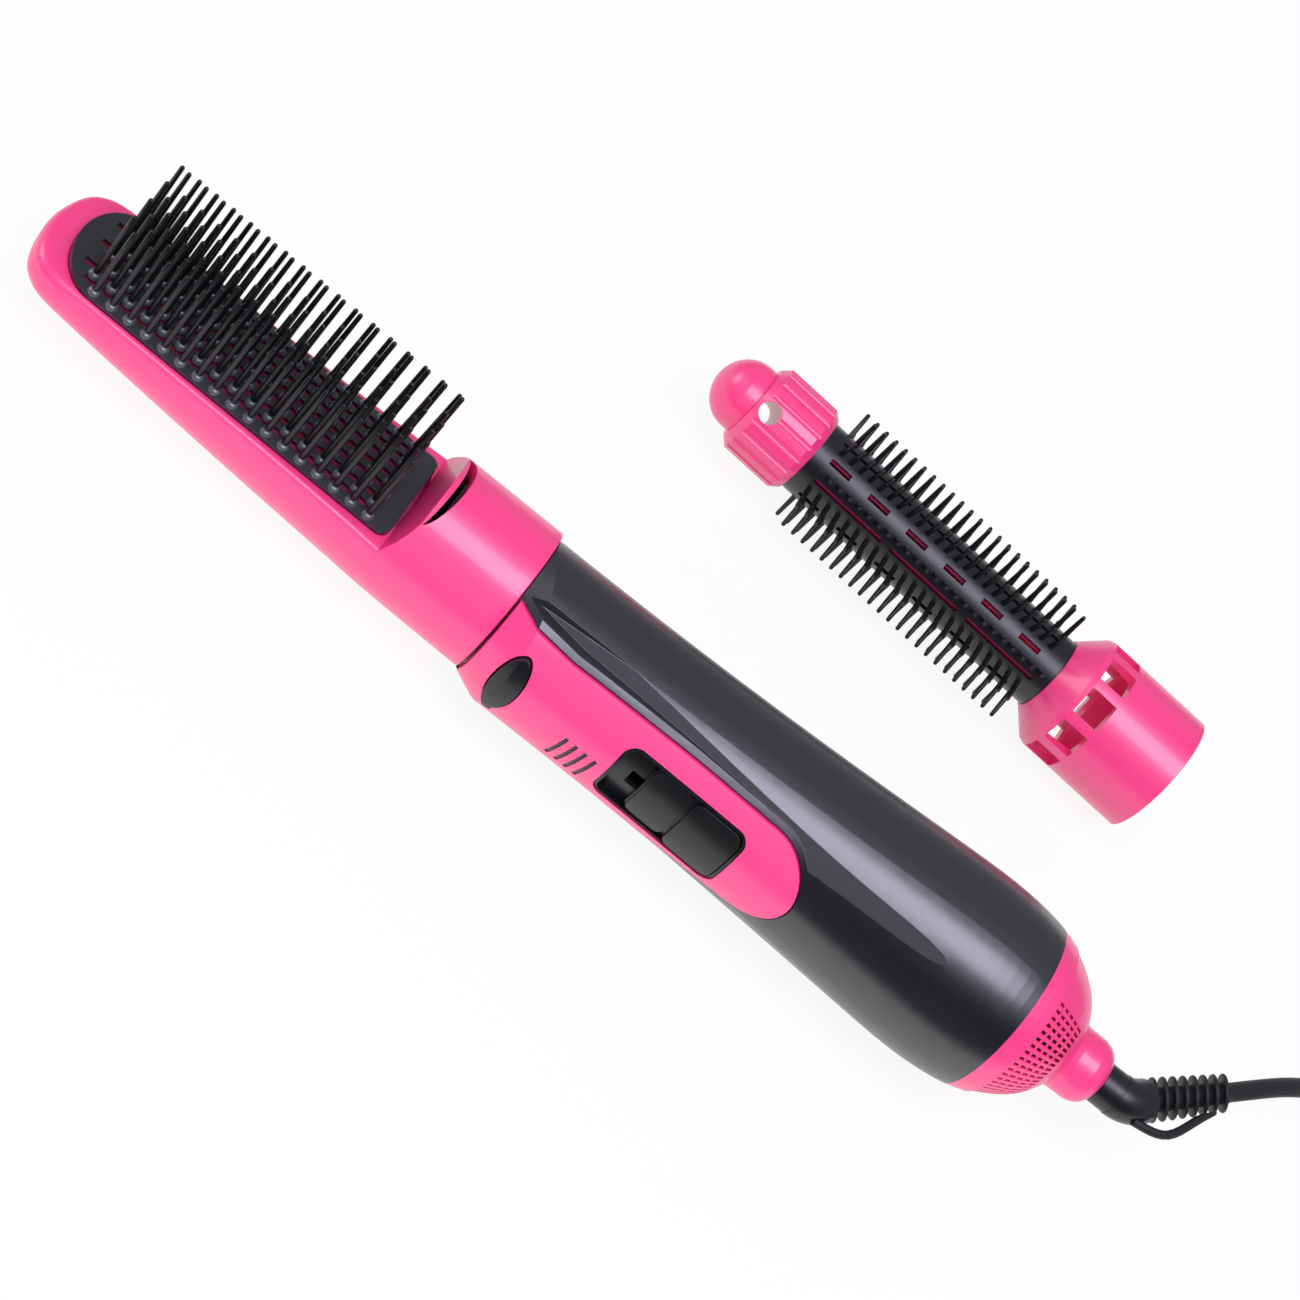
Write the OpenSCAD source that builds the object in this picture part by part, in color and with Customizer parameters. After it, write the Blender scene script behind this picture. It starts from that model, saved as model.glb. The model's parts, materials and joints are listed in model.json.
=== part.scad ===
// Hot air brush: a handheld blower with a vented comb attachment fitted, a round brush
// attachment lying beside it, and its mains lead. Millimetres, +Z up, +X towards the lead.
// The origin is on the table, under the middle of the brush and its attachment.

/* [Handle] */
// Length of the handle, from the attachment joint to the end of its neck
handle_len = 200; // [196:1:206]
// Radius of the handle where the hand holds it
grip_r = 22.7; // [22.3:0.1:23.5]
// Largest radius of the handle, round the motor
bulge_r = 27.35; // [26.9:0.05:28.5]
// Distance from the thickest place to the rear cap
bulge_back = 18; // [16:1:21]
// Length of the rear cap with its neck
cap_len = 33; // [32:0.5:34]
// Radius where the shells meet the rear cap
cap_r = 25.8; // [25.4:0.1:26.2]
// Wall of the two handle shells
shell_wall = 2.2; // [1.8:0.1:2.4]
// Offset of the handle's own axis from the attachment's at the joint
axis_off = 4.2; // [3.6:0.1:4.4]
// Turn of the control panel from square to the bristles
panel_roll = 4; // [0:1:8]
// Depth of the joint between the two shells, from the handle's axis
seam_y = 10; // [9:0.5:11]

/* [Finger scoops] */
// Angle of each scoop's face from the panel's middle
scoop_turn = 40; // [38:1:42]
// Distance of a scoop's face from the axis at the joint
scoop_d = 18.95; // [18.8:0.05:19.6]
// Rise of a scoop's face for each millimetre of handle
scoop_rise = 0.058; // [0.055:0.001:0.06]

/* [Control panel] */
// Length of the pink panel
panel_len = 102.5; // [101:0.5:106]
// Width of the panel at the switch
panel_w = 29.4; // [28.6:0.2:31]
// How far its rear end lies towards the upper side
panel_rise = 1.8; // [0:0.2:2]
// Thickness of the panel
panel_t = 2; // [1.6:0.1:2.2]
// Height of the panel over the shell
panel_proud = 0.3; // [0.1:0.1:0.5]
// Groove between the panel and the shell's lip
panel_gap = 0.5; // [0.3:0.1:0.8]
// Width of the lip that the shell has round the panel
lip_w = 1.5; // [1.2:0.1:2]

/* [Release button] */
// Place of the button's middle along the handle
button_x = 10.5; // [9.5:0.5:12]
// Width of the oval button along the handle
button_w = 7.8; // [7:0.2:9]
// Length of the oval button across the handle
button_h = 21; // [19:0.5:22]
// How far the button stands out of the panel
button_proud = 1.2; // [0.8:0.1:1.6]
// Travel of the button
button_travel = 2; // [1.5:0.1:2.2]
// Width of the latch arm under the button
latch_w = 5; // [4:0.5:6]
// Thickness of the latch arm
latch_t = 1.6; // [1.2:0.1:1.8]

/* [Switch] */
// Where the switch recess starts
recess_x = 44; // [42:0.5:46]
// Length of the switch recess
recess_len = 39.5; // [39:0.5:42]
// Width of the switch recess
recess_w = 21.2; // [21:0.2:23.4]
// Depth of the switch recess
recess_depth = 3; // [2.6:0.1:3.4]
// Travel of the knob, three settings in two steps
knob_travel = 8; // [6:0.5:8.5]

/* [Rear cap and swivel] */
// Radius of the neck where it leaves the dome
neck_r = 9.7; // [9:0.1:10.4]
// Length of the neck
neck_len = 12; // [11:0.5:12.5]
// Intake slots on each side of the dome, an odd number
intake_n = 25; // [21:2:25]
// Angle between two of them
intake_step = 5.5; // [5.2:0.1:5.6]
// Width of an intake slot
intake_w = 0.9; // [0.7:0.1:1.1]
// Radius of the swivel where it leaves the neck
swivel_r = 6; // [5.4:0.1:6.2]
// Bend of the swivel to the side
swivel_bend = 46; // [44:1:52]
// Length of the strain relief
relief_len = 33; // [30:1:34]
// Number of ribs on the strain relief
relief_ribs = 8; // [7:1:9]
// Thickness of the hanging loop
loop_d = 2.5; // [1.8:0.1:2.6]

/* [Air duct] */
// Radius of the spigot that the attachments push on to
spigot_r = 17.4; // [17.2:0.1:17.6]
// Length of the spigot in front of the handle
spigot_len = 28; // [26:1:29]
// Radius of the mica heater sleeve
heater_r = 13.2; // [12.8:0.1:13.4]
// Rings in the heater winding
winding_n = 14; // [10:1:16]
// Radius of the motor's can
motor_r = 13.9; // [13:0.1:14.2]
// Length of the motor's can
motor_len = 32; // [30:1:33]
// Radius of the fan
fan_r = 20.6; // [19.5:0.1:20.8]
// Blades of the fan
fan_blades = 7; // [5:1:9]

/* [Comb attachment] */
// Length of the comb attachment from the joint to its tip
comb_len = 150.5; // [146:1:154]
// Radius of the collar at the joint
collar_r = 21.8; // [21.6:0.1:22.2]
// Radius of the collar at its mouth
mouth_r = 21.5; // [21.3:0.1:21.8]
// Length of the collar
collar_len = 31; // [30:0.5:32]
// Height of the shell's rim over the axis
rim_z = 5; // [4.4:0.2:5.6]
// Wall of the comb shell
comb_wall = 2.2; // [1.8:0.1:2.4]
// Width of the bristle plate
plate_w = 33.4; // [32:0.2:34]
// Depth of the plate's edge under the rim
plate_t = 2; // [1.6:0.1:2.4]
// How far the plate's edge stands over the rim
plate_up = 1; // [0:0.2:1.4]
// Rows of bristles on the plate
comb_rows = 8; // [6:1:8]
// Bristles in a row of the plate
comb_cols = 17; // [12:1:17]
// Spacing of the bristles along a row
comb_pitch = 5.45; // [5.2:0.05:5.6]
// Height of the bristle tips over the rim
comb_tip_h = 26.2; // [24:0.2:29]
// How far the inner rows stand over the two outer rows
comb_rise = 3.6; // [2:0.2:4]

/* [Round brush] */
// Length of the tip dome
dome_len = 12.7; // [12:0.1:14]
// Radius of the tip dome
dome_r = 10.8; // [10:0.1:11.4]
// Length of the fluted tip ring
ring_len = 21.6; // [20:0.2:23]
// Radius of the fluted tip ring
ring_r = 14.6; // [14:0.1:15.4]
// Diameter of the hole through the tip ring
ring_hole_d = 6.8; // [5:0.2:7.6]
// Length of the slotted barrel
barrel_len = 94; // [90:1:98]
// Radius of the slotted barrel
barrel_r = 11.7; // [11.4:0.1:12.2]
// Rows of bristles round the barrel
round_rows = 10; // [8:2:10]
// Bristles in a row of the barrel
round_cols = 23; // [16:1:24]
// Spacing of the bristles along the barrel
round_pitch = 3.7; // [3.5:0.1:3.75]
// Radius of the circle of bristle tips
round_tip_r = 20.6; // [20.4:0.1:21.6]
// Length of the round brush's socket
socket_len = 43.4; // [42:0.2:46]
// Radius of the socket
socket_r = 19.6; // [19.2:0.1:20.4]
// Place of the round brush across the table
round_y = 122.5; // [118:0.5:128]
// Turn of the round brush on the table
round_yaw = 2; // [0:0.5:4]

/* [Lead] */
// Diameter of the mains lead
cord_d = 5.5; // [5:0.1:6]
// Diameter of the coil at the middle of its turns
coil_d = 60; // [56:1:66]
// Turns in each of the coil's four layers
coil_turns = 2.2; // [2:0.1:2.4]

/* [Hidden] */

pink = "hotpink";
black = "dimgray";
metal = "silver";
fit = 0.2;          // clearance of an attachment on the spigot
slide_gap = 0.4;    // clearance round a piece that slides
run_gap = 0.05;     // clearance of a shaft in its bore
joint_gap = 0.15;   // gap between the attachment and the handle
far = 400;          // longer than the object
fine = 96;          // sides of a smooth round

cap_x = handle_len - cap_len;
bulge_x = cap_x - bulge_back;
neck_x = handle_len - neck_len;

// The collar's mouth and the bulge both touch the table, so the brush lies nose down.
bulge_hook = 17;    // reach of the handle curve's last control point before the bulge
bulge_rho = 1.5 * bulge_hook * bulge_hook / (bulge_r - grip_r);
lie_a = bulge_x + collar_len;
lie_b = bulge_rho + mouth_r - bulge_r;
pitch = atan2(lie_a, lie_b) - acos(bulge_rho / norm([lie_a, lie_b]));
lie_z = collar_len * sin(pitch) + mouth_r * cos(pitch);

// The handle's axis meets the attachment's at the neck's end.
axis_tilt = atan(axis_off / handle_len);

// Middle of the object on the table, without the lead.
elbow_x = handle_len + 10.3;    // corner of the swivel's bend
relief_x = 6.3;                 // from that corner to the strain relief
relief_end = elbow_x + (relief_x + relief_len) * cos(swivel_bend) + 3;
mid_x = (relief_end - comb_len) / 2;
mid_y = (round_y + round_tip_r - bulge_r) / 2;

// ---- frames -------------------------------------------------------------------------------
module on_table() translate([-mid_x, -mid_y, 0]) children();
module in_brush() on_table() translate([0, 0, lie_z]) rotate([0, -pitch, 0]) children();
module brush_to_handle() rotate([-panel_roll, 0, 0]) translate([0, -axis_off, 0])
    rotate([0, 0, axis_tilt]) children();
module handle_to_brush() rotate([0, 0, -axis_tilt]) translate([0, axis_off, 0])
    rotate([panel_roll, 0, 0]) children();
module in_handle() in_brush() brush_to_handle() children();
module duct_in_handle() rotate([0, 0, -axis_tilt]) translate([0, axis_off, 0]) children();
// The duct pieces are on the attachment's axis, keyed to the control panel.
module in_duct() in_brush() rotate([-panel_roll, 0, 0]) children();

// A solid of revolution about +X, from points [x, r].
module turned(points) rotate([90, 0, 90]) rotate_extrude($fn = fine)
    polygon([for (p = points) [p[1], p[0]]]);
module rod(x0, x1, r0, r1 = -1, sides = fine) translate([x0, 0, 0]) rotate([0, 90, 0])
    cylinder(h = x1 - x0, r1 = r0, r2 = r1 < 0 ? r0 : r1, $fn = sides);
module tube(x0, x1, ro, ri) difference() {
    rod(x0, x1, ro);
    rod(x0 - 1, x1 + 1, ri);
}
// A block from corner to corner.
module block(a, b) translate(a) cube(b - a);
// Copies round +X.
module ring_of(n, from = 0) for (i = [0:n - 1]) rotate([from + i * 360 / n, 0, 0]) children();
// A rounded rectangle in the XY plane.
module rounded(w, h, r) {
    square([w - 2 * r, h], center = true);
    square([w, h - 2 * r], center = true);
    for (i = [-1, 1], j = [-1, 1]) translate([i * (w / 2 - r), j * (h / 2 - r)])
        circle(r, $fn = 32);
}
// Turns a drawing in X and Z into a prism along Y.
module through_y(y0, y1) translate([0, y1, 0]) rotate([90, 0, 0])
    linear_extrude(height = y1 - y0) children();
// A smooth cubic curve between two points, as n + 1 points.
function bez(a, b, c, d, n) = [for (i = [0:n]) let (t = i / n, s = 1 - t)
    s * s * s * a + 3 * s * s * t * b + 3 * s * t * t * c + t * t * t * d];
function without_first(v) = [for (i = [1:len(v) - 1]) v[i]];

// ---- handle form --------------------------------------------------------------------------
nose_len = 12;      // the front of the handle, which slopes up from the collar
nose_rise = 0.46;   // slope of that part
body_pts = concat([[-3, grip_r]],
    bez([nose_len, grip_r], [bulge_x - 64, grip_r + 0.1], [bulge_x - bulge_hook, bulge_r],
        [bulge_x, bulge_r], 14),
    without_first(bez([bulge_x, bulge_r], [bulge_x + 8, bulge_r], [cap_x - 4, cap_r + 0.8],
        [cap_x, cap_r], 5)));
module body_form(off) turned(concat([[-3, 0]], [for (p = body_pts) p + [0, off]], [[cap_x, 0]]));
// The front end, from x = from, is trimmed by a cone on the attachment's axis.
module nose_cone(grow, from = 0) duct_in_handle() {
    rod(from, nose_len + 2, collar_r + 0.2 + grow + from * nose_rise,
        collar_r + 0.2 + grow + (nose_len + 2) * nose_rise);
    rod(nose_len + 1.9, far, 60);
}
// The outside of the handle, moved out by off.
module skin(off) intersection() {
    body_form(off);
    nose_cone(off);
}
// What the two finger scoops take away; inset moves their faces in.
module scoops(inset) for (side = [-1, 1]) rotate([90 - side * scoop_turn, 0, 0])
    translate([0, 0, scoop_d - inset]) rotate([0, -atan(scoop_rise), 0])
        block([-30, -60, 0], [far, 60, 60]);

front_wall = 2.4;
seat_x0 = bulge_x - 29;     // straight seat for the motor mount
seat_x1 = bulge_x - 1;
seat_r = bulge_r - 3.6;
module hollow() difference() {
    intersection() {
        turned([[-3, 0], [-3, grip_r - shell_wall], [seat_x0 - 60, grip_r + 0.7 - shell_wall],
                [seat_x0 - 25, grip_r + 1.6 - shell_wall], [seat_x0, seat_r], [seat_x1, seat_r],
                [cap_x - 7, cap_r - shell_wall], [cap_x + 1, cap_r - shell_wall],
                [cap_x + 1, 0]]);
        nose_cone(-shell_wall, front_wall);
    }
    scoops(shell_wall);
}
// Half spaces on the two sides of the seam.
module panel_side() block([-50, -60, -60], [far, -seam_y, 60]);

// Outline of the control panel, in X and Z, moved out by off.
panel_end = 15;     // length of its rounded end
module panel_outline(off) polygon(concat(
    [[-5, -(panel_w / 2 + 1.2 + off)]],
    [[6, -(panel_w / 2 + 1.2 + off)], [20, -(panel_w / 2 + 0.3 + off)],
     [60, panel_rise / 2 - panel_w / 2 - off]],
    [for (a = [-90:7.5:90]) [panel_len - panel_end + (panel_end + off) * cos(a),
        panel_rise + (panel_w / 2 - 0.9 + off) * sin(a)]],
    [[60, panel_rise / 2 + panel_w / 2 + off], [20, panel_w / 2 + 0.3 + off],
     [6, panel_w / 2 + 1.2 + off], [-5, panel_w / 2 + 1.2 + off]]));
module panel_prism(off) through_y(-60, -seam_y) panel_outline(off);
pan_t = 2;          // floor of the shell under the panel

// Screws that hold the shells, under the panel.
screw_x = recess_x + recess_len + 11;
screw_z = 6;
screw_seat = grip_r - 3.3;      // depth of the screw heads' seat
post_end = screw_seat - 2.4;
module at_screws() for (z = [-screw_z, screw_z]) translate([screw_x, 0, z])
    rotate([90, 0, 0]) children();

// The button's oval, in X and Z.
module button_oval(off) translate([button_x, 0]) polygon([for (a = [0:9:351])
    [(button_w / 2 + off) * cos(a), (button_h / 2 + off) * sin(a)]]);
// The latch arm lies in the sleeve's keyway, between these radii from the duct's axis.
arm_r = spigot_r + 0.5;
arm_reach = 7;                  // how far it reaches in front of the joint

module recess_outline(off) translate([recess_x + recess_len / 2, 0])
    rounded(recess_len + 2 * off, recess_w + 2 * off, 4 + off);

module front_shell() color(black) in_handle() difference() {
    union() {
        intersection() {
            difference() {
                skin(0);
                scoops(0);
                hollow();
            }
            panel_side();
        }
        difference() {
            intersection() {
                skin(0);
                panel_prism(panel_gap + lip_w);
            }
            skin(-panel_t - pan_t);
        }
        intersection() {
            skin(-panel_t);
            at_screws() translate([0, 0, post_end]) cylinder(h = 12, r = 3.6, $fn = 32);
        }
    }
    difference() {
        panel_prism(panel_gap);
        skin(-panel_t);
    }
    through_y(-60, -seam_y) button_oval(slide_gap);
    through_y(-60, -seam_y) recess_outline(0);
    at_screws() translate([0, 0, screw_seat]) cylinder(h = 20, r = 2.8, $fn = 32);
    at_screws() cylinder(h = 40, r = 1.5, $fn = 32);
    latch_way();
    spigot_hole();
}
// The way of the latch arm through the front wall.
module latch_way() duct_in_handle() block(
    [-1, -arm_r - latch_t - slide_gap, -latch_w / 2 - slide_gap],
    [front_wall + 5, -arm_r + button_travel + slide_gap, latch_w / 2 + slide_gap]);
tail_r = 14.6;      // radius of the spigot's tail, in the front wall
module spigot_hole() duct_in_handle() rod(-1, front_wall + 1, tail_r + run_gap);

module back_shell() color(black) in_handle() difference() {
    union() {
        difference() {
            skin(0);
            hollow();
            panel_side();
        }
        intersection() {
            skin(-1);
            at_screws() translate([0, 0, -60]) cylinder(h = 60 + post_end, r = 3.2, $fn = 32);
        }
    }
    at_screws() translate([0, 0, -12]) cylinder(h = 40, r = 1.3, $fn = 32);
    spigot_hole();
    latch_way();
}
module control_panel() color(pink) in_handle() difference() {
    intersection() {
        skin(panel_proud);
        panel_prism(0);
        block([0.3, -60, -60], [far, 0, 60]);
    }
    skin(-panel_t);
    through_y(-60, 0) button_oval(slide_gap);
    through_y(-60, 0) recess_outline(0);
    mark_slots();
}
// The four slanted marks between the button and the switch.
module mark_slots() difference() {
    through_y(-60, -10) for (i = [0:3]) translate([30.7 + 3.05 * i, -5.7]) rotate(-8)
        square([1.1, 10.8], center = true);
    skin(-0.8);
}
module shell_screws() color(metal) in_handle() at_screws() {
    translate([0, 0, screw_seat]) cylinder(h = 1.3, r = 2.5, $fn = 32);
    cylinder(h = screw_seat, r = 1.3, $fn = 32);
}

// ---- duct and heater ----------------------------------------------------------------------
duct_r = spigot_r - 1.8;        // bore of the spigot
module spigot() color(black) in_duct() difference() {
    union() {
        rod(-spigot_len, 0, spigot_r);
        rod(-0.1, front_wall + 3, tail_r);
    }
    rod(-spigot_len - 1, -2, duct_r);
    rod(-3, front_wall + 4, heater_r + run_gap);
    block([-arm_reach - 2, -spigot_r - 1, -latch_w / 2 - slide_gap],
          [0, -arm_r + button_travel + 2 * slide_gap, latch_w / 2 + slide_gap]);
}
module spigot_ring() color(metal) in_duct() tube(front_wall, front_wall + 1.4, tail_r + 1.1,
                                                tail_r);
grille_x = -spigot_len + 1;
module outlet_grille() color(black) in_duct() {
    tube(grille_x, grille_x + 2.4, duct_r, duct_r - 1.4);
    for (r = [4.4, 9]) tube(grille_x, grille_x + 1.2, r + 0.6, r - 0.6);
    for (i = [0:5]) rotate([i * 60, 0, 0]) block([grille_x, -0.6, 4.2], [grille_x + 1.2, 0.6,
        duct_r - 1.2]);
}
heater_x0 = -22;
heater_x1 = 56;
module heater_sleeve() color("tan") in_duct() tube(heater_x0, heater_x1, heater_r,
                                                  heater_r - 0.6);
// Two mica boards, each slotted half its length to cross the other.
board_half = heater_r - 0.65;
board_t = 0.8;
wind_r = 10.6;
wire_r = 0.4;
notch_r = wind_r - wire_r - 0.02;
module heater_boards() color("wheat") in_duct() {
    notch_x = (heater_x0 + heater_x1) / 2;
    for (k = [0, 1]) rotate([45 + 90 * k, 0, 0]) difference() {
        block([heater_x0 + 4, -board_t / 2, -board_half], [heater_x1 - 6, board_t / 2,
            board_half]);
        block([k == 0 ? heater_x0 : notch_x, -board_t, -board_t / 2],
              [k == 0 ? notch_x : heater_x1, board_t, board_t / 2]);
        for (s = [-1, 1]) block([heater_x0 + 8, -board_t, s > 0 ? notch_r : -60],
            [heater_x1 - 18, board_t, s > 0 ? 60 : -notch_r]);
    }
}
module heater_winding() color("darkgoldenrod") in_duct() for (i = [0:winding_n - 1])
    translate([heater_x0 + 11 + i * 44 / (winding_n - 1), 0, 0]) rotate([0, 90, 0])
        rotate_extrude($fn = 48) translate([wind_r, 0]) circle(wire_r, $fn = 16);
module thermal_cutout() color("peru") in_duct() rotate([45, 0, 0]) translate([
    heater_x1 - 16, board_t / 2, 2]) cube([8, 3, 5]);
module heater_ring() color("wheat") in_handle() difference() {
    intersection() {
        hollow();
        skin(-panel_t - pan_t);
        block([36, -60, -60], [38.4, 60, 60]);
    }
    duct_in_handle() rod(0, 60, heater_r);
    for (z = [-16.6, 16.6]) translate([0, 2, z]) rod(30, 50, 1.6, 1.6, 24);
}

// ---- switch -------------------------------------------------------------------------------
bezel_wall = 1;
stem_w = 4;
module stem_slot(off) block([recess_x + 14 - knob_travel - off, -60, -stem_w / 2 - off],
    [recess_x + recess_len - 12 + off, 0, stem_w / 2 + off]);
module switch_bezel() color(black) in_handle() difference() {
    intersection() {
        skin(-0.1);
        through_y(-60, -seam_y) recess_outline(0);
    }
    difference() {
        through_y(-60, -seam_y) recess_outline(-bezel_wall);
        skin(-recess_depth);
    }
    skin(-panel_t - pan_t);
    stem_slot(slide_gap);
}
knob_len = recess_len - 2 * bezel_wall - 2 * slide_gap - knob_travel;
knob_end = recess_x + recess_len - bezel_wall - slide_gap;
module knob_block(x0, x1, off) intersection() {
    skin(off);
    through_y(-60, -seam_y) translate([(x0 + x1) / 2, 0])
        rounded(x1 - x0, recess_w - 2 * bezel_wall - 2 * slide_gap, 2.8);
}
module switch_knob() color(black) in_handle() {
    split = knob_end - 16;
    difference() {
        union() {
            knob_block(knob_end - knob_len, knob_end, -1.4);
            knob_block(knob_end - knob_len + 0.6, split - 0.6, -0.6);
            knob_block(split + 0.6, knob_end, 0.2);
        }
        skin(-recess_depth + slide_gap);
    }
    intersection() {
        block([recess_x + 16, -60, -stem_w / 2], [recess_x + recess_len - 14, -14.5,
            stem_w / 2]);
        skin(-1.6);
    }
}
switch_y = 11.5;
module switch_body() color("ivory") in_handle() difference() {
    intersection() {
        block([recess_x + 4, -40, -8], [recess_x + recess_len - 6, -switch_y, 8]);
        skin(-panel_t - pan_t - run_gap);
    }
    block([recess_x + 14 - knob_travel - 2, -60, -stem_w / 2 - slide_gap],
          [recess_x + recess_len - 12 + 1, -13.5, stem_w / 2 + slide_gap]);
}
board_x = heater_x1 + 3;
board_len = 24;
board_t2 = 1.6;
module wiring_board() color("darkgreen") in_handle() {
    block([board_x, -switch_y, -11], [board_x + board_len, -switch_y + board_t2, 11]);
    for (i = [0:3]) translate([board_x + 4 + 5.5 * i, -switch_y + board_t2 + 1.3, -2.5])
        cylinder(h = 5, r = 1.3, $fn = 24);
}
// ---- release latch ------------------------------------------------------------------------
button_base = -16.6;            // underside of the button, which the latch arm meets
module release_button() color(black) in_handle() intersection() {
    union() {
        intersection() {
            skin(panel_proud + button_proud);
            block([-5, -60, -60], [button_x + 1.4, 0, 60]);
        }
        skin(panel_proud + button_proud - 0.7);
    }
    through_y(-60, button_base) button_oval(0);
}
module latch_arm() color(black) in_handle() {
    duct_in_handle() {
        block([-arm_reach, -arm_r - latch_t, -latch_w / 2],
              [button_x + 3, -arm_r, latch_w / 2]);
        block([-arm_reach, -arm_r - latch_t, -latch_w / 2],
              [-arm_reach + 1.5, -arm_r + 0.4, latch_w / 2]);
    }
    through_y(button_base, button_base + 1.4) intersection() {
        button_oval(-0.6);
        translate([button_x, 0]) square([button_w, latch_w + 4], center = true);
    }
}

// ---- motor and fan ------------------------------------------------------------------------
motor_x = seat_x0 + 2;
can_t = 0.8;
bell_len = 4;
shaft_r = 1.15;
vane_n = 8;
module motor_mount() color(black) in_handle() {
    tube(seat_x0 + 1, seat_x1 - 6, seat_r, seat_r - 1.2);
    tube(motor_x, seat_x1 - 6, motor_r + 1.2, motor_r);
    ring_of(vane_n, 11) block([motor_x, -0.6, motor_r + 1], [seat_x1 - 6, 0.6, seat_r - 1]);
}
module motor_can() color(metal) in_handle() difference() {
    rod(motor_x, motor_x + motor_len, motor_r);
    rod(motor_x + can_t, motor_x + motor_len + 1, motor_r - can_t);
    rod(motor_x - 1, motor_x + 2, shaft_r + run_gap, sides = 48);
}
module motor_magnets() color("gray") in_handle() for (s = [0, 180]) rotate([s, 0, 0])
    difference() {
        tube(motor_x + 5, motor_x + motor_len - 5, motor_r - can_t - run_gap, motor_r - 3.4);
        block([0, -60, -60], [far, 60, 4]);
    }
module motor_end_bell() color("ivory") in_handle() difference() {
    rod(motor_x + motor_len, motor_x + motor_len + bell_len, motor_r);
    rod(motor_x, far, shaft_r + run_gap, sides = 48);
}
module motor_shaft() color(metal) in_handle() rod(fan_x - 2, motor_x + motor_len + bell_len,
                                                  shaft_r, sides = 48);
module armature() color("darkgoldenrod") in_handle() difference() {
    union() {
        tube(motor_x + 7, motor_x + motor_len - 8, motor_r - 3.8, shaft_r);
        tube(motor_x + 5, motor_x + motor_len - 3, 3.4, shaft_r);
    }
    ring_of(3) translate([0, 0, motor_r]) rod(motor_x, motor_x + motor_len, 4.6, sides = 32);
}
fan_x = motor_x - 18;
fan_w = 12;
module fan() color(black) in_handle() {
    difference() {
        rod(fan_x, fan_x + fan_w, 6.5, 8);
        rod(fan_x - 1, fan_x + fan_w + 1, shaft_r, sides = 48);
    }
    intersection() {
        ring_of(fan_blades) translate([fan_x + fan_w / 2, 0, 0]) rotate([0, 0, 38])
            block([-8, -0.6, 6], [8, 0.6, fan_r + 1]);
        tube(fan_x + 0.5, fan_x + fan_w - 0.5, fan_r, 6.2);
    }
}

// ---- rear cap and swivel ------------------------------------------------------------------
cap_wall = 3;
bush_r = swivel_r + 0.5;
dome_out = concat([[cap_x, cap_r], [cap_x + 3, cap_r - 0.8], [cap_x + 5.8, cap_r - 1.7]],
    bez([cap_x + 6, cap_r - 2.2], [cap_x + 12, cap_r - 5.3], [neck_x - 3.2, 17.8],
        [neck_x, neck_r + 0.5], 8));
dome_in = bez([cap_x, cap_r - cap_wall], [cap_x + 8, cap_r - 4.4], [neck_x - 5.5, 16],
              [neck_x - 3, bush_r], 7);
function backwards(v) = [for (i = [len(v) - 1:-1:0]) v[i]];
module rear_cap() color(pink) in_handle() {
    difference() {
        turned(concat(dome_out, [[neck_x + 2, neck_r], [handle_len - 4.5, neck_r - 0.1],
            [handle_len - 2.6, neck_r - 0.6], [handle_len - 1.2, neck_r - 1.4],
            [handle_len - 0.3, neck_r - 2.4], [handle_len, neck_r - 2.8],
            [handle_len, bush_r]], backwards(dome_in)));
        for (side = [90, 270], i = [0:intake_n - 1])
            rotate([side + (i - (intake_n - 1) / 2) * intake_step, 0, 0])
                block([cap_x + 6.3, -intake_w / 2, 13.5], [cap_x + 17, intake_w / 2, 40]);
    }
    tube(cap_x - 5, cap_x + 3, cap_r - shell_wall - 0.1, cap_r - shell_wall - 1.6);
}
// A screen of thin rings lies against the inside of the cap, across the slots.
screen_pts = [for (p = dome_in) if (p[0] > cap_x + 4 && p[0] < neck_x - 3.5) p];
module intake_screen() color("darkgray") in_handle() difference() {
    turned(concat(screen_pts, [for (p = backwards(screen_pts)) p - [0, 1]]));
    for (side = [-1, 1], i = [0:4]) scale([1, side, 1])
        block([cap_x + 6.7 + 2.2 * i, 8.5, -40], [cap_x + 8.1 + 2.2 * i, 40, 40]);
}
bush_x = neck_x + 2;
swivel_neck = swivel_r - 1.4;
module swivel_bush() color("ivory") in_handle() tube(bush_x, handle_len - 0.6, bush_r,
                                                    swivel_neck + run_gap);
bend_r = 9;
bend_in = bend_r * tan(swivel_bend / 2);
module past_elbow() translate([elbow_x, 0, 0]) rotate([0, 0, swivel_bend]) children();
module elbow() translate([elbow_x - bend_in, bend_r, 0]) rotate([0, 0, -90])
    rotate_extrude(angle = swivel_bend, $fn = fine) translate([bend_r, 0])
        circle(swivel_r + 0.2, $fn = 48);
module swivel_body() color(black) in_handle() {
    rod(bush_x - 2.1, bush_x - 0.1, bush_r - slide_gap);
    rod(bush_x - 0.2, handle_len + 0.4, swivel_neck);
    rod(handle_len + 0.4, elbow_x - bend_in + 0.5, swivel_r);
    elbow();
    past_elbow() rod(bend_in - 0.5, relief_x, swivel_r);
}
relief_core = 2.9;
module strain_relief() color(black) in_handle() past_elbow() {
    pitch_x = relief_len / relief_ribs;
    rod(relief_x, relief_x + relief_len, relief_core + 0.5, relief_core, 32);
    for (i = [0:relief_ribs - 1]) let (r = 6.2 - 0.9 * i / relief_ribs)
        rod(relief_x + (i + 0.65) * pitch_x, relief_x + (i + 0.65) * pitch_x + 1.3, r,
            sides = 40);
}
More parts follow.
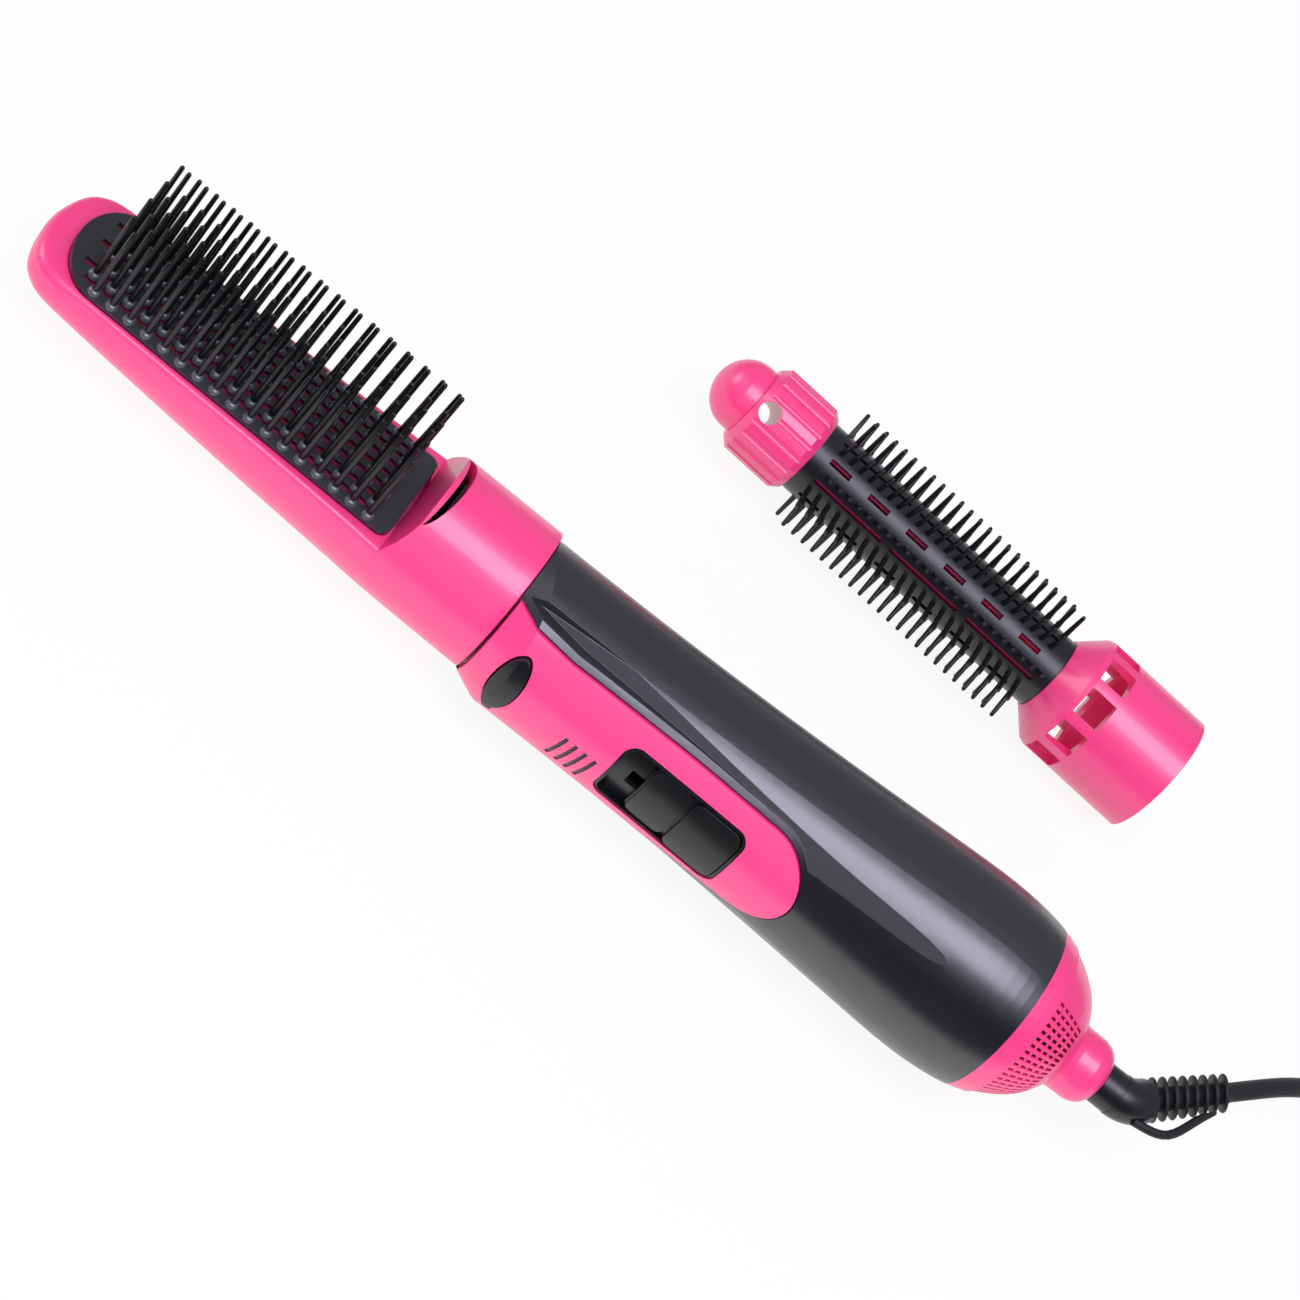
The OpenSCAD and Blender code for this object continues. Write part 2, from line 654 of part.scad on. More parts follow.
// The hanging loop leaves the swivel's far side and joins the relief near its end.
loop_path = concat(bez([-0.5, -5.4, 0], [3, -8, 0], [6, -10.3, 0], [10, -10.3, 0], 6),
    without_first(bez([10, -10.3, 0], [15, -10.3, 0], [21, -7.4, 0], [31, -5, 0], 6)));
module hanging_loop() color(black) in_handle() difference() {
    past_elbow() swept(loop_path, loop_d / 2, 12);
    elbow();
    past_elbow() rod(bend_in - 0.5, relief_x, swivel_r);
    past_elbow() rod(relief_x, relief_x + relief_len, 6.35, 5.45, 40);
}

// ---- mains lead ---------------------------------------------------------------------------
// Route of the lead on the table, from the strain relief to the coil and on to the plug.
cord_z = cord_d / 2;
function rx(a, v) = [v[0], v[1] * cos(a) - v[2] * sin(a), v[1] * sin(a) + v[2] * cos(a)];
function ry(a, v) = [v[0] * cos(a) + v[2] * sin(a), v[1], v[2] * cos(a) - v[0] * sin(a)];
function rz(a, v) = [v[0] * cos(a) - v[1] * sin(a), v[0] * sin(a) + v[1] * cos(a), v[2]];
relief_in_handle = rz(swivel_bend, [relief_x + relief_len, 0, 0]) + [elbow_x, 0, 0];
relief_tip = [0, 0, lie_z]
    + ry(-pitch, rx(-panel_roll, rz(axis_tilt, relief_in_handle) - [0, axis_off, 0]));
relief_dir = ry(-pitch, rx(-panel_roll, rz(axis_tilt + swivel_bend, [1, 0, 0])));
crest = [283, 69, 14];          // a place on the way down to the table
crest_dir = [0.88, 0.2, -0.43];
coil_at = [348, 30];
coil_h = 4 * cord_d;
coil_in = coil_d / 2 - coil_turns * cord_d / 2 - 1;
coil_out = coil_d / 2 + coil_turns * cord_d / 2 + 1;
coil_join = [coil_at[0], coil_at[1] + coil_out - cord_z - 0.6, cord_z];
plug_at = [406, 18, 13.25];
route_in = concat(
    bez(relief_tip + 0.2 * relief_dir, relief_tip + 24 * relief_dir, crest - 20 * crest_dir,
        crest, 7),
    without_first(bez(crest, crest + 16 * crest_dir, coil_join - [44, 0, 0],
        coil_join - [20, 0, 0], 6)), [coil_join]);
coil_leave = 58;                // place round the coil where the lead goes on to the plug
leave_r = coil_out - cord_z - 1;
leave_pt = [coil_at[0] + leave_r * cos(coil_leave), coil_at[1] + leave_r * sin(coil_leave),
            coil_h - cord_z];
leave_dir = [sin(coil_leave), -cos(coil_leave), 0];
route_out = bez(leave_pt, leave_pt + 18 * leave_dir, plug_at + [0, 34, 0],
    plug_at + [0, 14.6, 0], 8);
function unit(v) = v / norm(v);
function tangent(v, i) = unit(v[min(i + 1, len(v) - 1)] - v[max(i - 1, 0)]);
function side_of(t) = unit(cross([0, 0, 1], t));
// A closed tube along the points v.
module swept(v, r, n) {
    rings = [for (i = [0:len(v) - 1]) let (t = tangent(v, i), a = side_of(t),
        b = cross(t, a)) for (k = [0:n - 1]) v[i] + r * (cos((k + 0.5) * 360 / n) * a
        + sin((k + 0.5) * 360 / n) * b)];
    last = len(v) - 1;
    walls = [for (i = [0:last - 1], k = [0:n - 1]) let (m = (k + 1) % n)
        each [[i * n + m, i * n + k, (i + 1) * n + m],
              [(i + 1) * n + m, i * n + k, (i + 1) * n + k]]];
    polyhedron(rings, concat([[for (k = [0:n - 1]) k]], walls,
        [[for (k = [n - 1:-1:0]) last * n + k]]));
}
module cord_tube() color(black) on_table() {
    swept(route_in, cord_d / 2, 8);
    swept(route_out, cord_d / 2, 8);
}
module cord_coil() color(black) on_table() translate([coil_at[0], coil_at[1], 0])
    rotate_extrude($fn = fine) difference() {
        translate([coil_in, 0]) square([coil_out - coil_in, coil_h]);
        for (x = [coil_in, coil_out], z = [0, coil_h]) translate([x, z]) rotate(45)
            square(2.4, center = true);
    }
module in_plug() on_table() translate(plug_at) rotate([0, 0, -90]) children();
module plug_body() color(black) in_plug() {
    intersection() {
        rod(8, 40, 18.4);
        block([0, -18.4, -13.25], [40, 18.4, 13.25]);
        rod(0, 40, 12, 32);
    }
    rod(-14, 14, 3.6, 6.4, 32);
}
module plug_pins() color(metal) in_plug() for (y = [-9.5, 9.5]) translate([0, y, 0])
    rod(40, 59, 2.4, sides = 32);

// ---- comb attachment ----------------------------------------------------------------------
bore_r = spigot_r + fit;
key_len = arm_reach + 4;
crest_r = mouth_r - 1.5;        // radius of the crest in front of the collar
crest_side = 12;                // height of its straight flanks at the sides
ramp_len = 4.5;                 // from the rim up to the crest
// The crest and what is under it, between x0 and x1, moved down by drop.
module crest(x0, x1, drop) hull() {
    rod(x0, x1, crest_r - drop, sides = 64);
    block([x0, -25, -25], [x1, 25, crest_side - drop]);
}
// Between the crest and the collar a crescent opening shows the spigot.
slot_w = 14.5;
slot_reach = 4;
crest_reach = 1.6;
module slot_prism(reach) linear_extrude(height = 40) polygon([for (a = [0:6:354])
    [-collar_len + reach * cos(a), slot_w * sin(a)]]);
module comb_sleeve() color(pink) in_brush() difference() {
    rod(-collar_len, -joint_gap, mouth_r, collar_r);
    rod(-collar_len - 1, 1, bore_r);
    rotate([-panel_roll, 0, 0]) block([-key_len, -arm_r - latch_t - slide_gap,
        -latch_w / 2 - slide_gap], [1, 0, latch_w / 2 + slide_gap]);
    difference() {
        slot_prism(slot_reach);
        crest(-collar_len - 1, 0, 0);
    }
    difference() {
        slot_prism(slot_reach);
        slot_prism(crest_reach);
    }
}
rim_w = plate_w / 2 + 2.5;      // half width of the shell at its rim
// Sections of the comb shell: [place, half width, depth].
comb_form = [[-collar_len, mouth_r, mouth_r], [-collar_len - 15, rim_w + 1.3, mouth_r - 0.2],
             [-collar_len - 44, rim_w + 0.3, mouth_r - 1.7],
             [-comb_len + 45, rim_w, mouth_r - 4.8], [-comb_len + 22, rim_w - 0.1, 13.4],
             [-comb_len + 11, rim_w - 0.4, 11.2], [-comb_len + 6.5, rim_w - 2, 9.6],
             [-comb_len + 3, rim_w - 5.4, 7.6], [-comb_len + 0.9, rim_w - 11, 5.2],
             [-comb_len, rim_w - 16.4, 3]];
module comb_hull(inset) hull() for (s = comb_form) {
    x = max(s[0], -comb_len + inset);
    translate([x - 0.01, 0, 0]) rotate([0, 90, 0])
        scale([max(s[2] - inset, 1), max(s[1] - inset, 1), 1]) cylinder(h = 0.01, r = 1,
                                                                       $fn = 64);
}
// What lies under the rim and the ramp, moved down by drop.
module under_rim(drop) {
    block([-far, -60, -60], [-collar_len - ramp_len, 60, rim_z - drop]);
    hull() {
        crest(-collar_len - 0.01, -collar_len, drop);
        block([-collar_len - ramp_len - 0.01, -25, -25],
              [-collar_len - ramp_len, 25, rim_z - drop]);
    }
}
plate_x0 = -comb_len + 8;
plate_x1 = -collar_len - 3.6;
plate_nose = 12;
// Outline of the bristle plate, moved out by off.
module plate_outline(off) polygon(concat(
    [for (a = [90:7.5:270]) [plate_x0 + plate_nose + (plate_nose + off) * cos(a),
        (plate_w / 2 + off) * sin(a)]],
    [for (a = [-90:15:0]) [plate_x1 - 4 + (3 + off) * cos(a),
        -plate_w / 2 + 4 + (4 + off) * sin(a)]],
    [[plate_x1 + off, 0]],
    [for (a = [0:15:90]) [plate_x1 - 4 + (3 + off) * cos(a),
        plate_w / 2 - 4 + (4 + off) * sin(a)]]));
module plate_prism(z0, z1, off) translate([0, 0, z0]) linear_extrude(height = z1 - z0)
    plate_outline(off);
bed_t = 1.6;
module comb_shell() color(pink) in_brush() difference() {
    intersection() {
        comb_hull(0);
        under_rim(0);
    }
    intersection() {
        comb_hull(comb_wall + 1.4);
        under_rim(comb_wall);
    }
    plate_prism(rim_z - plate_t - bed_t, 40, 0.1);
}
module comb_bed() color(pink) in_brush() difference() {
    plate_prism(rim_z - plate_t - bed_t, rim_z - plate_t, 0.1);
    for (i = [0:7], y = [-8.4, 0, 8.4]) translate([plate_x0 + 14 + i * 12, y, -10])
        cylinder(h = 30, r = 1.6, $fn = 24);
}
crown = 1.8;                    // rise of the bristle plate in its middle
crown_r = (plate_w * plate_w / 4 + crown * crown) / (2 * crown);
vent_n = 6;
module comb_plate() color(black) in_brush() difference() {
    intersection() {
        plate_prism(rim_z - plate_t, 20, 0);
        translate([0, 0, rim_z + plate_up + crown - crown_r]) rod(-far, 0, crown_r, sides = 200);
    }
    vent_len = (plate_x1 - plate_x0 - 14) / vent_n;
    row_gap = comb_row_gap();
    for (j = [1:comb_rows - 1], i = [0:vent_n - 1]) translate([plate_x0 + 9 + i * vent_len,
        (j - comb_rows / 2) * row_gap, 0]) block([0, -0.8, 0], [vent_len - 2.6, 0.8, 20]);
}
function comb_row_gap() = (plate_w - 4.4) / (comb_rows - 1);
module comb_bristles() color(black) in_brush() for (j = [0:comb_rows - 1]) {
    y = (j - (comb_rows - 1) / 2) * comb_row_gap();
    h = comb_tip_h + (j == 0 || j == comb_rows - 1 ? 0 : comb_rise);
    for (i = [0:comb_cols - 1]) translate([plate_x1 - 8 - (i + (j % 2) / 2) * comb_pitch, y,
        rim_z - 1]) cylinder(h = h + 1, r1 = 1, r2 = 0.55, $fn = 16);
}

// ---- round brush --------------------------------------------------------------------------
ring_x = dome_len;
barrel_x = ring_x + ring_len;
socket_x = barrel_x + barrel_len;
round_len = socket_x + socket_len;
round_mid_x = 97.9;
round_h = max(socket_r, round_tip_r * cos(180 / round_rows) + 0.3);
module in_round() on_table() translate([round_mid_x, round_y, round_h])
    rotate([0, 0, -round_yaw]) translate([-round_len / 2, 0, 0]) children();
module tip_dome() color(pink) in_round() turned(concat([[0, 0]],
    [for (a = [10:10:90]) [dome_len * 0.8 * (1 - cos(a)), dome_r * sin(a)]],
    [[dome_len, dome_r], [dome_len, 0]]));
module tip_ring() color(pink) in_round() difference() {
    turned([[ring_x, 0], [ring_x, ring_r - 2.4], [ring_x + 2.6, ring_r],
            [barrel_x - 2.4, ring_r], [barrel_x, ring_r - 1.8], [barrel_x, 0]]);
    ring_of(20, 9) translate([0, 0, ring_r + 0.5]) rod(ring_x - 1, barrel_x + 1, 1.1,
        sides = 24);
    translate([ring_x + ring_hole_d / 2 + 1.2, 0, 0]) rotate([45, 0, 0])
        cylinder(h = 80, r = ring_hole_d / 2, center = true, $fn = 48);
    rod(barrel_x - 6, barrel_x + 1, 4, sides = 48);
}
core_r = barrel_r - 1.4;
module round_core() color(pink) in_round() {
    difference() {
        rod(barrel_x, socket_x + 2 - run_gap, core_r - 1.6);
        rod(barrel_x + 2, socket_x + 3, core_r - 3);
        for (s = [0:1]) rotate([45 + 180 * s, 0, 0]) block([barrel_x + 4, -2, 0],
            [socket_x - 5, 2, 40]);
        rod(barrel_x - 1, barrel_x + 3, 1.6, sides = 32);
    }
    for (x = [barrel_x, socket_x - 3]) tube(x, x + 2, core_r - run_gap, core_r - 2);
    rod(barrel_x - 5, barrel_x, 4, sides = 48);
}
module tip_screw() color(metal) in_round() rod(barrel_x, barrel_x + 3, 1.6, sides = 32);
// Between the rows of bristles, rows of short holes and of long slots take turns.
hole_rows = [[3, 0.88, 0.7], [6, 0.51, 0.9]];    // [number, share of the pitch, half width]
module round_barrel() color(black) in_round() difference() {
    tube(barrel_x, socket_x, barrel_r, core_r);
    for (j = [0:round_rows - 1]) rotate([j * 360 / round_rows, 0, 0]) {
        h = hole_rows[j % 2];
        step = (barrel_len - 6) / h[0];
        for (i = [0:h[0] - 1]) let (x = barrel_x + 5 + i * step)
            block([x, -h[2], core_r - 1], [x + step * h[1], h[2], 20]);
    }
}
module round_bristles() color(black) in_round() ring_of(round_rows, 180 / round_rows)
    for (i = [0:round_cols - 1]) translate([barrel_x + 6 + i * round_pitch, 0,
        barrel_r - 0.6]) cylinder(h = round_tip_r - barrel_r + 0.6, r1 = 0.8, r2 = 0.5,
        $fn = 16);
shoulder = 7;
window_len = 10.5;
window_n = 10;
bore_depth = 24;
module round_socket() color(pink) in_round() difference() {
    turned([[socket_x, core_r], [socket_x, barrel_r + 0.6], [socket_x + shoulder, socket_r - 0.6],
            [socket_x + shoulder + 1.6, socket_r], [round_len, socket_r],
            [round_len, bore_r], [round_len - bore_depth, bore_r],
            [round_len - bore_depth, bore_r - 2], [socket_x + shoulder + 1.6, socket_r - 2.2],
            [socket_x + 2, barrel_r - 0.6], [socket_x + 2, core_r]]);
    ring_of(window_n, 9) block([socket_x + shoulder + 1.6, -4.4, 12],
        [socket_x + shoulder + 1.6 + window_len - 1.4, 4.4, 40]);
}

front_shell();
back_shell();
control_panel();
shell_screws();
spigot();
spigot_ring();
outlet_grille();
heater_sleeve();
heater_boards();
heater_winding();
thermal_cutout();
heater_ring();
switch_bezel();
switch_body();
wiring_board();
motor_mount();
motor_can();
motor_magnets();
motor_end_bell();
rear_cap();
intake_screen();
swivel_bush();
cord_tube();
cord_coil();
plug_body();
plug_pins();
switch_knob();
release_button();
latch_arm();
motor_shaft();
fan();
armature();
swivel_body();
strain_relief();
hanging_loop();
comb_sleeve();
comb_shell();
comb_bed();
comb_plate();
comb_bristles();
tip_dome();
tip_ring();
tip_screw();
round_barrel();
round_core();
round_bristles();
round_socket();
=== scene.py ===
"""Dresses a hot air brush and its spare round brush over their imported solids."""
import json
import math

import bmesh
import bpy
from mathutils import Matrix, Vector


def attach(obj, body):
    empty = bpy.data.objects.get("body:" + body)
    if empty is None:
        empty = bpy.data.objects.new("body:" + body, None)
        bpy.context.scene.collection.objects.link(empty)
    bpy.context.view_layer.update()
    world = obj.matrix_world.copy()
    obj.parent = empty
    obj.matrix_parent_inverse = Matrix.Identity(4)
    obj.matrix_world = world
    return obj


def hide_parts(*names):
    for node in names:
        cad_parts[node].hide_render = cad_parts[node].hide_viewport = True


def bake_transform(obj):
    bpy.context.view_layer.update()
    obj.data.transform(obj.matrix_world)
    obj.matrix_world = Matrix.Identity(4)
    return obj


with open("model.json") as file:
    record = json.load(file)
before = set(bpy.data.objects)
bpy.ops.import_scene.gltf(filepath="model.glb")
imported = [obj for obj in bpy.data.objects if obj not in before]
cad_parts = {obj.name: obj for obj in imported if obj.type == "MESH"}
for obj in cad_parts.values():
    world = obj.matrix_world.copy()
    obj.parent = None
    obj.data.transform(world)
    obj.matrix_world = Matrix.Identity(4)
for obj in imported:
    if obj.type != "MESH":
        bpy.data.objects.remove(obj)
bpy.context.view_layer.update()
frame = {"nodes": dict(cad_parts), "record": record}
MM = 0.001

# ---- frames, from the sizes of the solids, in millimetres ----
MIDDLE = Vector((45.05, 57.875, 0))
# The brush's axis lies LIE_Z above the table at the joint and rises by PITCH to the rear. The handle is
# rolled a little, and its own axis starts AXIS_OFF beside the comb's and meets it at the rear end.
PITCH, LIE_Z = math.radians(1.87738), 22.504
ROLL, AXIS_OFF = math.radians(4), 4.2
HANDLE_LEN, ELBOW_X, BEND = 200.0, 210.3, math.radians(46)


def turn(angle, axis):
    """Turn about one of the axes."""
    return Matrix.Rotation(angle, 4, axis)


def move(*place):
    """Shift in millimetres."""
    return Matrix.Translation(place)


TABLE = Matrix.Scale(MM, 4) @ move(*-MIDDLE)
BRUSH = TABLE @ move(0, 0, LIE_Z) @ turn(-PITCH, "Y")
HANDLE = BRUSH @ turn(-ROLL, "X") @ move(0, -AXIS_OFF, 0) @ turn(math.atan(AXIS_OFF / HANDLE_LEN), "Z")
RELIEF = HANDLE @ move(ELBOW_X, 0, 0) @ turn(BEND, "Z")

# ---- camera: a long lens, from the front left and above ----
STAND = (-0.13515, -0.67958, 0.6544)
view = bpy.data.objects.new("camera", bpy.data.cameras.new("camera"))
bpy.context.collection.objects.link(view)
right, up = Vector((0.751, 0.3814, 0.5391)), Vector((-0.6452, 0.5977, 0.4759))
back = right.cross(up).normalized()
right = up.cross(back).normalized()
up = back.cross(right)
view.matrix_world = Matrix.Translation(STAND) @ Matrix((right, up, back)).transposed().to_4x4()
view.data.lens, view.data.sensor_width = 96.05, 36
view.data.clip_start, view.data.clip_end = 0.01, 20
bpy.context.scene.camera = view


# ---- helpers ----
def clamp(share):
    return min(1, max(0, share))


def linear(colour):
    """sRGB hex colour to linear RGBA."""
    def channel(c):
        return c / 12.92 if c <= 0.04045 else ((c + 0.055) / 1.055) ** 2.4
    return [channel(int(colour[i:i + 2], 16) / 255) for i in (1, 3, 5)] + [1]


def node(tree, kind, settings=(), **links):
    """Adds a shader node; settings are attributes, or inputs where the name is a socket's."""
    made = tree.nodes.new(kind)
    for name, value in dict(settings).items():
        if isinstance(name, str) and hasattr(made, name):
            setattr(made, name, value)
        else:
            made.inputs[name].default_value = value
    for name, source in links.items():
        key = int(name[1:]) if name[1:].isdigit() else name.replace("_", " ")
        tree.links.new(source, made.inputs[key])
    return made


def bez(a, b, c, d, n):
    """Points of a cubic curve."""
    a, b, c, d = map(Vector, (a, b, c, d))
    return [a * (1 - t) ** 3 + b * 3 * t * (1 - t) ** 2 + c * 3 * t * t * (1 - t) + d * t ** 3
            for t in (i / n for i in range(n + 1))]


def new_piece(name, points, faces, body, slot, replaces=(), place=TABLE):
    """A smooth mesh piece from points in the frame of its place."""
    mesh = bpy.data.meshes.new(name)
    mesh.from_pydata([place @ Vector(p) for p in points], [], faces)
    work = bmesh.new()
    work.from_mesh(mesh)
    bmesh.ops.remove_doubles(work, verts=work.verts, dist=1e-6)
    bmesh.ops.recalc_face_normals(work, faces=work.faces)
    work.to_mesh(mesh)
    work.free()
    piece = bpy.data.objects.new(name, mesh)
    bpy.context.collection.objects.link(piece)
    mesh.materials.append(MATERIALS[slot])
    mesh.shade_smooth()
    mesh.set_sharp_from_angle(angle=math.radians(40))
    if body:
        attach(piece, body)
    if replaces:
        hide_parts(*replaces)
    return piece


def loft(rings):
    """Closed surface through rings of equally many points."""
    count, last = len(rings[0]), len(rings) - 1
    faces = [(i * count + k, i * count + m, (i + 1) * count + m, (i + 1) * count + k)
             for i in range(last) for k, m in zip(range(count), [*range(1, count), 0])]
    faces += [tuple(range(count)), tuple(last * count + k for k in range(count))]
    return [p for ring in rings for p in ring], faces


def circle(sides):
    """Cosine and sine of equal steps round a circle."""
    return [(math.cos(a), math.sin(a)) for a in (2 * math.pi * k / sides for k in range(sides))]


def lathe(profile, sides):
    """Closed surface of revolution about +X from points (x, r)."""
    return loft([[(x, r * c, r * s) for c, s in circle(sides)] for x, r in profile])


def sweep(path, radius, sides):
    """Tube along a path, with its sides carried from point to point."""
    rings, side = [], None
    for i, p in enumerate(path):
        ahead = (path[min(i + 1, len(path) - 1)] - path[max(i - 1, 0)]).normalized()
        side = side or ahead.orthogonal()
        side = (side - ahead * side.dot(ahead)).normalized()
        over = ahead.cross(side)
        rings.append([p + radius * (c * side + s * over) for c, s in circle(sides)])
    return loft(rings)


def merged(parts):
    """Several closed surfaces as one list of points and one of faces."""
    points, faces = [], []
    for some, corners in parts:
        faces += [tuple(k + len(points) for k in face) for face in corners]
        points += some
    return points, faces


# ---- materials ----
# The colour wavers over WAVER mm, as moulded resin does. A mould's own grain is near 0.05 mm, too fine to
# show, so it is drawn at GRAIN mm.
WAVER, GRAIN = 22, 0.5


def plastic(name, colour, roughness, coat=0.0, bump=0.0, edge=0.25, tint=None, ior=1.5):
    """Moulded plastic: a fine random unevenness, and edges rounded as a mould rounds them."""
    material = bpy.data.materials.new(name)
    material.use_nodes = True
    tree = material.node_tree
    shader = tree.nodes["Principled BSDF"]
    place = node(tree, "ShaderNodeTexCoord")
    waver = node(tree, "ShaderNodeTexNoise", {"Scale": 1 / (WAVER * MM), "Detail": 2.0},
                 Vector=place.outputs["Object"])
    fine = node(tree, "ShaderNodeTexNoise", {"Scale": 1 / (GRAIN * MM), "Detail": 3.0},
                Vector=place.outputs["Object"])
    shade = node(tree, "ShaderNodeMix", {"data_type": "RGBA", 6: linear(colour), 7: linear(tint or colour)},
                 Factor=waver.outputs["Fac"])
    tree.links.new(shade.outputs[2], shader.inputs["Base Color"])
    gloss = node(tree, "ShaderNodeMapRange", {"To Min": roughness * 0.9, "To Max": roughness * 1.12},
                 Value=fine.outputs["Fac"])
    tree.links.new(gloss.outputs["Result"], shader.inputs["Roughness"])
    rounded = node(tree, "ShaderNodeBevel", {"samples": 4, "Radius": edge * MM})
    uneven = node(tree, "ShaderNodeBump", {"Strength": bump, "Distance": 0.1 * MM},
                  Height=fine.outputs["Fac"], Normal=rounded.outputs["Normal"])
    tree.links.new(uneven.outputs["Normal"], shader.inputs["Normal"])
    shader.inputs["IOR"].default_value = ior
    shader.inputs["Coat Weight"].default_value = coat
    shader.inputs["Coat Roughness"].default_value = 0.08
    return material


def metal(name, colour, roughness):
    """Metal with small edges, and the plastic's slight unevenness in its gloss."""
    material = plastic(name, colour, roughness, edge=0.15)
    material.node_tree.nodes["Principled BSDF"].inputs["Metallic"].default_value = 1
    return material


MATERIALS = {
    # glossy moulded ABS, hot pink: a clean surface with soft highlights, and an IOR raised for its sheen
    "pink_plastic": plastic("glossy_pink_abs", "#F83482", 0.38, coat=0.3, tint="#F6307B", ior=1.85),
    # satin moulded ABS, black: wide soft highlights
    "black_plastic": plastic("satin_black_abs", "#101013", 0.34, bump=0.06, tint="#151518", ior=1.6),
    # nylon bristles, smooth and slightly glossy
    "bristle_nylon": plastic("black_nylon", "#101012", 0.3, tint="#16161A"),
    # soft PVC of the lead and its sleeve, matt
    "black_pvc": plastic("matt_black_pvc", "#151517", 0.55, bump=0.12, tint="#1B1B1E"),
    # rolled and plated steel: bright with blurred highlights
    "steel": metal("plated_steel", "#B9BABD", 0.28),
    # mica paper pressed in layers: warm brown and half matt
    "mica": plastic("layered_mica", "#A88F62", 0.5, tint="#8C744A"),
    # drawn resistance wire, dulled by heat
    "heater_wire": metal("drawn_resistance_wire", "#7C6A5A", 0.35),
    # drawn copper in clear enamel: an orange gleam
    "copper": metal("enamelled_copper", "#B06A3A", 0.3),
    # sintered and ground ferrite: dark grey and matt
    "ferrite": plastic("ground_ferrite", "#2A2A2C", 0.6, tint="#353538"),
    # moulded natural nylon: ivory, half matt
    "ivory_plastic": plastic("ivory_nylon", "#D9D0BC", 0.45, tint="#D0C6B0"),
    # glass laminate under a green lacquer: smooth and glossy
    "circuit_board": plastic("lacquered_board", "#1F5A2C", 0.35, tint="#184A24"),
}
# Sprayed charcoal lacquer with a fine pearl: a broad grey sheen along the handle, with an IOR raised for it.
CHARCOAL = plastic("pearl_charcoal_lacquer", "#15151A", 0.3, bump=0.04, tint="#19191F", ior=1.95)
# Moulded nylon of the bristle plate: dark graphite, with the sheen of filled nylon.
GRAPHITE = plastic("satin_graphite_nylon", "#16171A", 0.34, bump=0.08, tint="#1E1F22", ior=1.75)
# Moulded ABS of the tray below the plate, matt: the comb's own pink, painted deep and dark as painted shade
# for the shadow under the plate.
PAINTED_SHADE_PINK = plastic("pink_abs_painted_shade", "#9A1745", 0.6, tint="#8C143E")
# Moulded nylon of the bosses that the bristles stand in, painted a lighter grey than the plate as a painted
# highlight, where they catch more light than the plate.
PAINTED_GLINT_GRAPHITE = plastic("graphite_nylon_painted_highlight", "#44474D", 0.3, tint="#4C5056", ior=1.9)
DRESS = {"front_shell": CHARCOAL, "back_shell": CHARCOAL, "switch_body": MATERIALS["black_plastic"],
         "comb_plate": GRAPHITE, "comb_bed": PAINTED_SHADE_PINK}
slots = {part["node"]: part["material_slot"] for part in frame["record"]["subparts"]}
for name, solid in frame["nodes"].items():
    solid.data.materials.clear()
    solid.data.materials.append(DRESS.get(name) or MATERIALS[slots[name]])

# ---- comb shell: one moulding with the collar, smooth from end to end ----
# Place along the comb, half width and depth of the trough there, from the tip to the joint.
TROUGH = [(-150.5, 2.8, 3.0), (-149.6, 8.2, 5.2), (-147.5, 13.8, 7.6), (-144, 17.2, 9.6),
          (-139.5, 18.8, 11.2), (-128.5, 19.1, 13.4), (-105.5, 19.2, 16.7), (-75, 19.5, 19.8),
          (-46, 20.5, 21.3), (-31, 21.5, 21.5), (0, 21.8, 21.8)]
TIP, RAMP, COLLAR = TROUGH[0][0], -35.0, -31.0
# Height of the rim, radius of the collar's bore, wall of the trough, and how far its hollow is raised.
RIM_Z, BORE, WALL, RAISE = 5.0, 17.6, 2.6, 1.0
# Radius of the rim's edge, and the stretch towards the tip over which it doubles.
RIM_R, SOFT_FROM, SOFT_LEN = 1.5, -128, 14
# The crest before the collar is an arc of PEAK_R out to SHOULDER, then falls straight at FALL to the foot.
PEAK_R, SHOULDER, FALL, FOOT_Y, FOOT_Z = 20.0, 7.0, 0.372, 25.0, 12.0
# Angle in degrees at which the collar's section passes from its underside to its top.
SPLIT = 47
# Half width and depth of the slit behind the crest.
SLIT_HALF, SLIT_DEEP = 14.5, 4.0
# The bristle plate's outline: a round nose, and two corners at its heel; ROOM is left round it.
NOSE_X, NOSE_LEN, PLATE_HALF, ROOM = -130.5, 12.0, 16.7, 0.1
CORNER_X, CORNER_Y, CORNER_LEN, CORNER_WIDE, HEEL_X = -38.6, 12.7, 3.0, 4.0, -34.6


def along(table, x):
    """The values of a table at x, on a smooth curve through its rows."""
    i = max(k for k in range(len(table) - 1) if k == 0 or table[k][0] <= x)
    (x0, *a), (x1, *b) = table[i], table[i + 1]
    before, after = table[max(i - 1, 0)], table[min(i + 2, len(table) - 1)]
    t, wide = (x - x0) / (x1 - x0), x1 - x0
    out = []
    for k in range(len(a)):
        m0 = (b[k] - before[k + 1]) / (x1 - before[0]) * wide
        m1 = (after[k + 1] - a[k]) / (after[0] - x0) * wide
        out.append((2 * t ** 3 - 3 * t * t + 1) * a[k] + (t ** 3 - 2 * t * t + t) * m0
                   + (3 * t * t - 2 * t ** 3) * b[k] + (t ** 3 - t * t) * m1)
    return out


def crest(y):
    """Height of the crest in front of the collar."""
    if abs(y) < SHOULDER:
        return math.sqrt(PEAK_R ** 2 - y * y)
    return FOOT_Z + (FOOT_Y - abs(y)) * FALL


def rim_round(x):
    """Radius of the rim's edge at a place along the comb."""
    return RIM_R + RIM_R * clamp((SOFT_FROM - x) / SOFT_LEN)


def rim_half(x):
    """Half width of the trough where its rounded rim starts."""
    w, d = along(TROUGH, x)
    return w * math.sqrt(max(0, 1 - ((RIM_Z - rim_round(x)) / d) ** 2))


OUTLINE = [Vector((x, rim_half(x)))
           for x in [TIP + 0.4 * i for i in range(30)] + list(range(-138, -26, 3))]


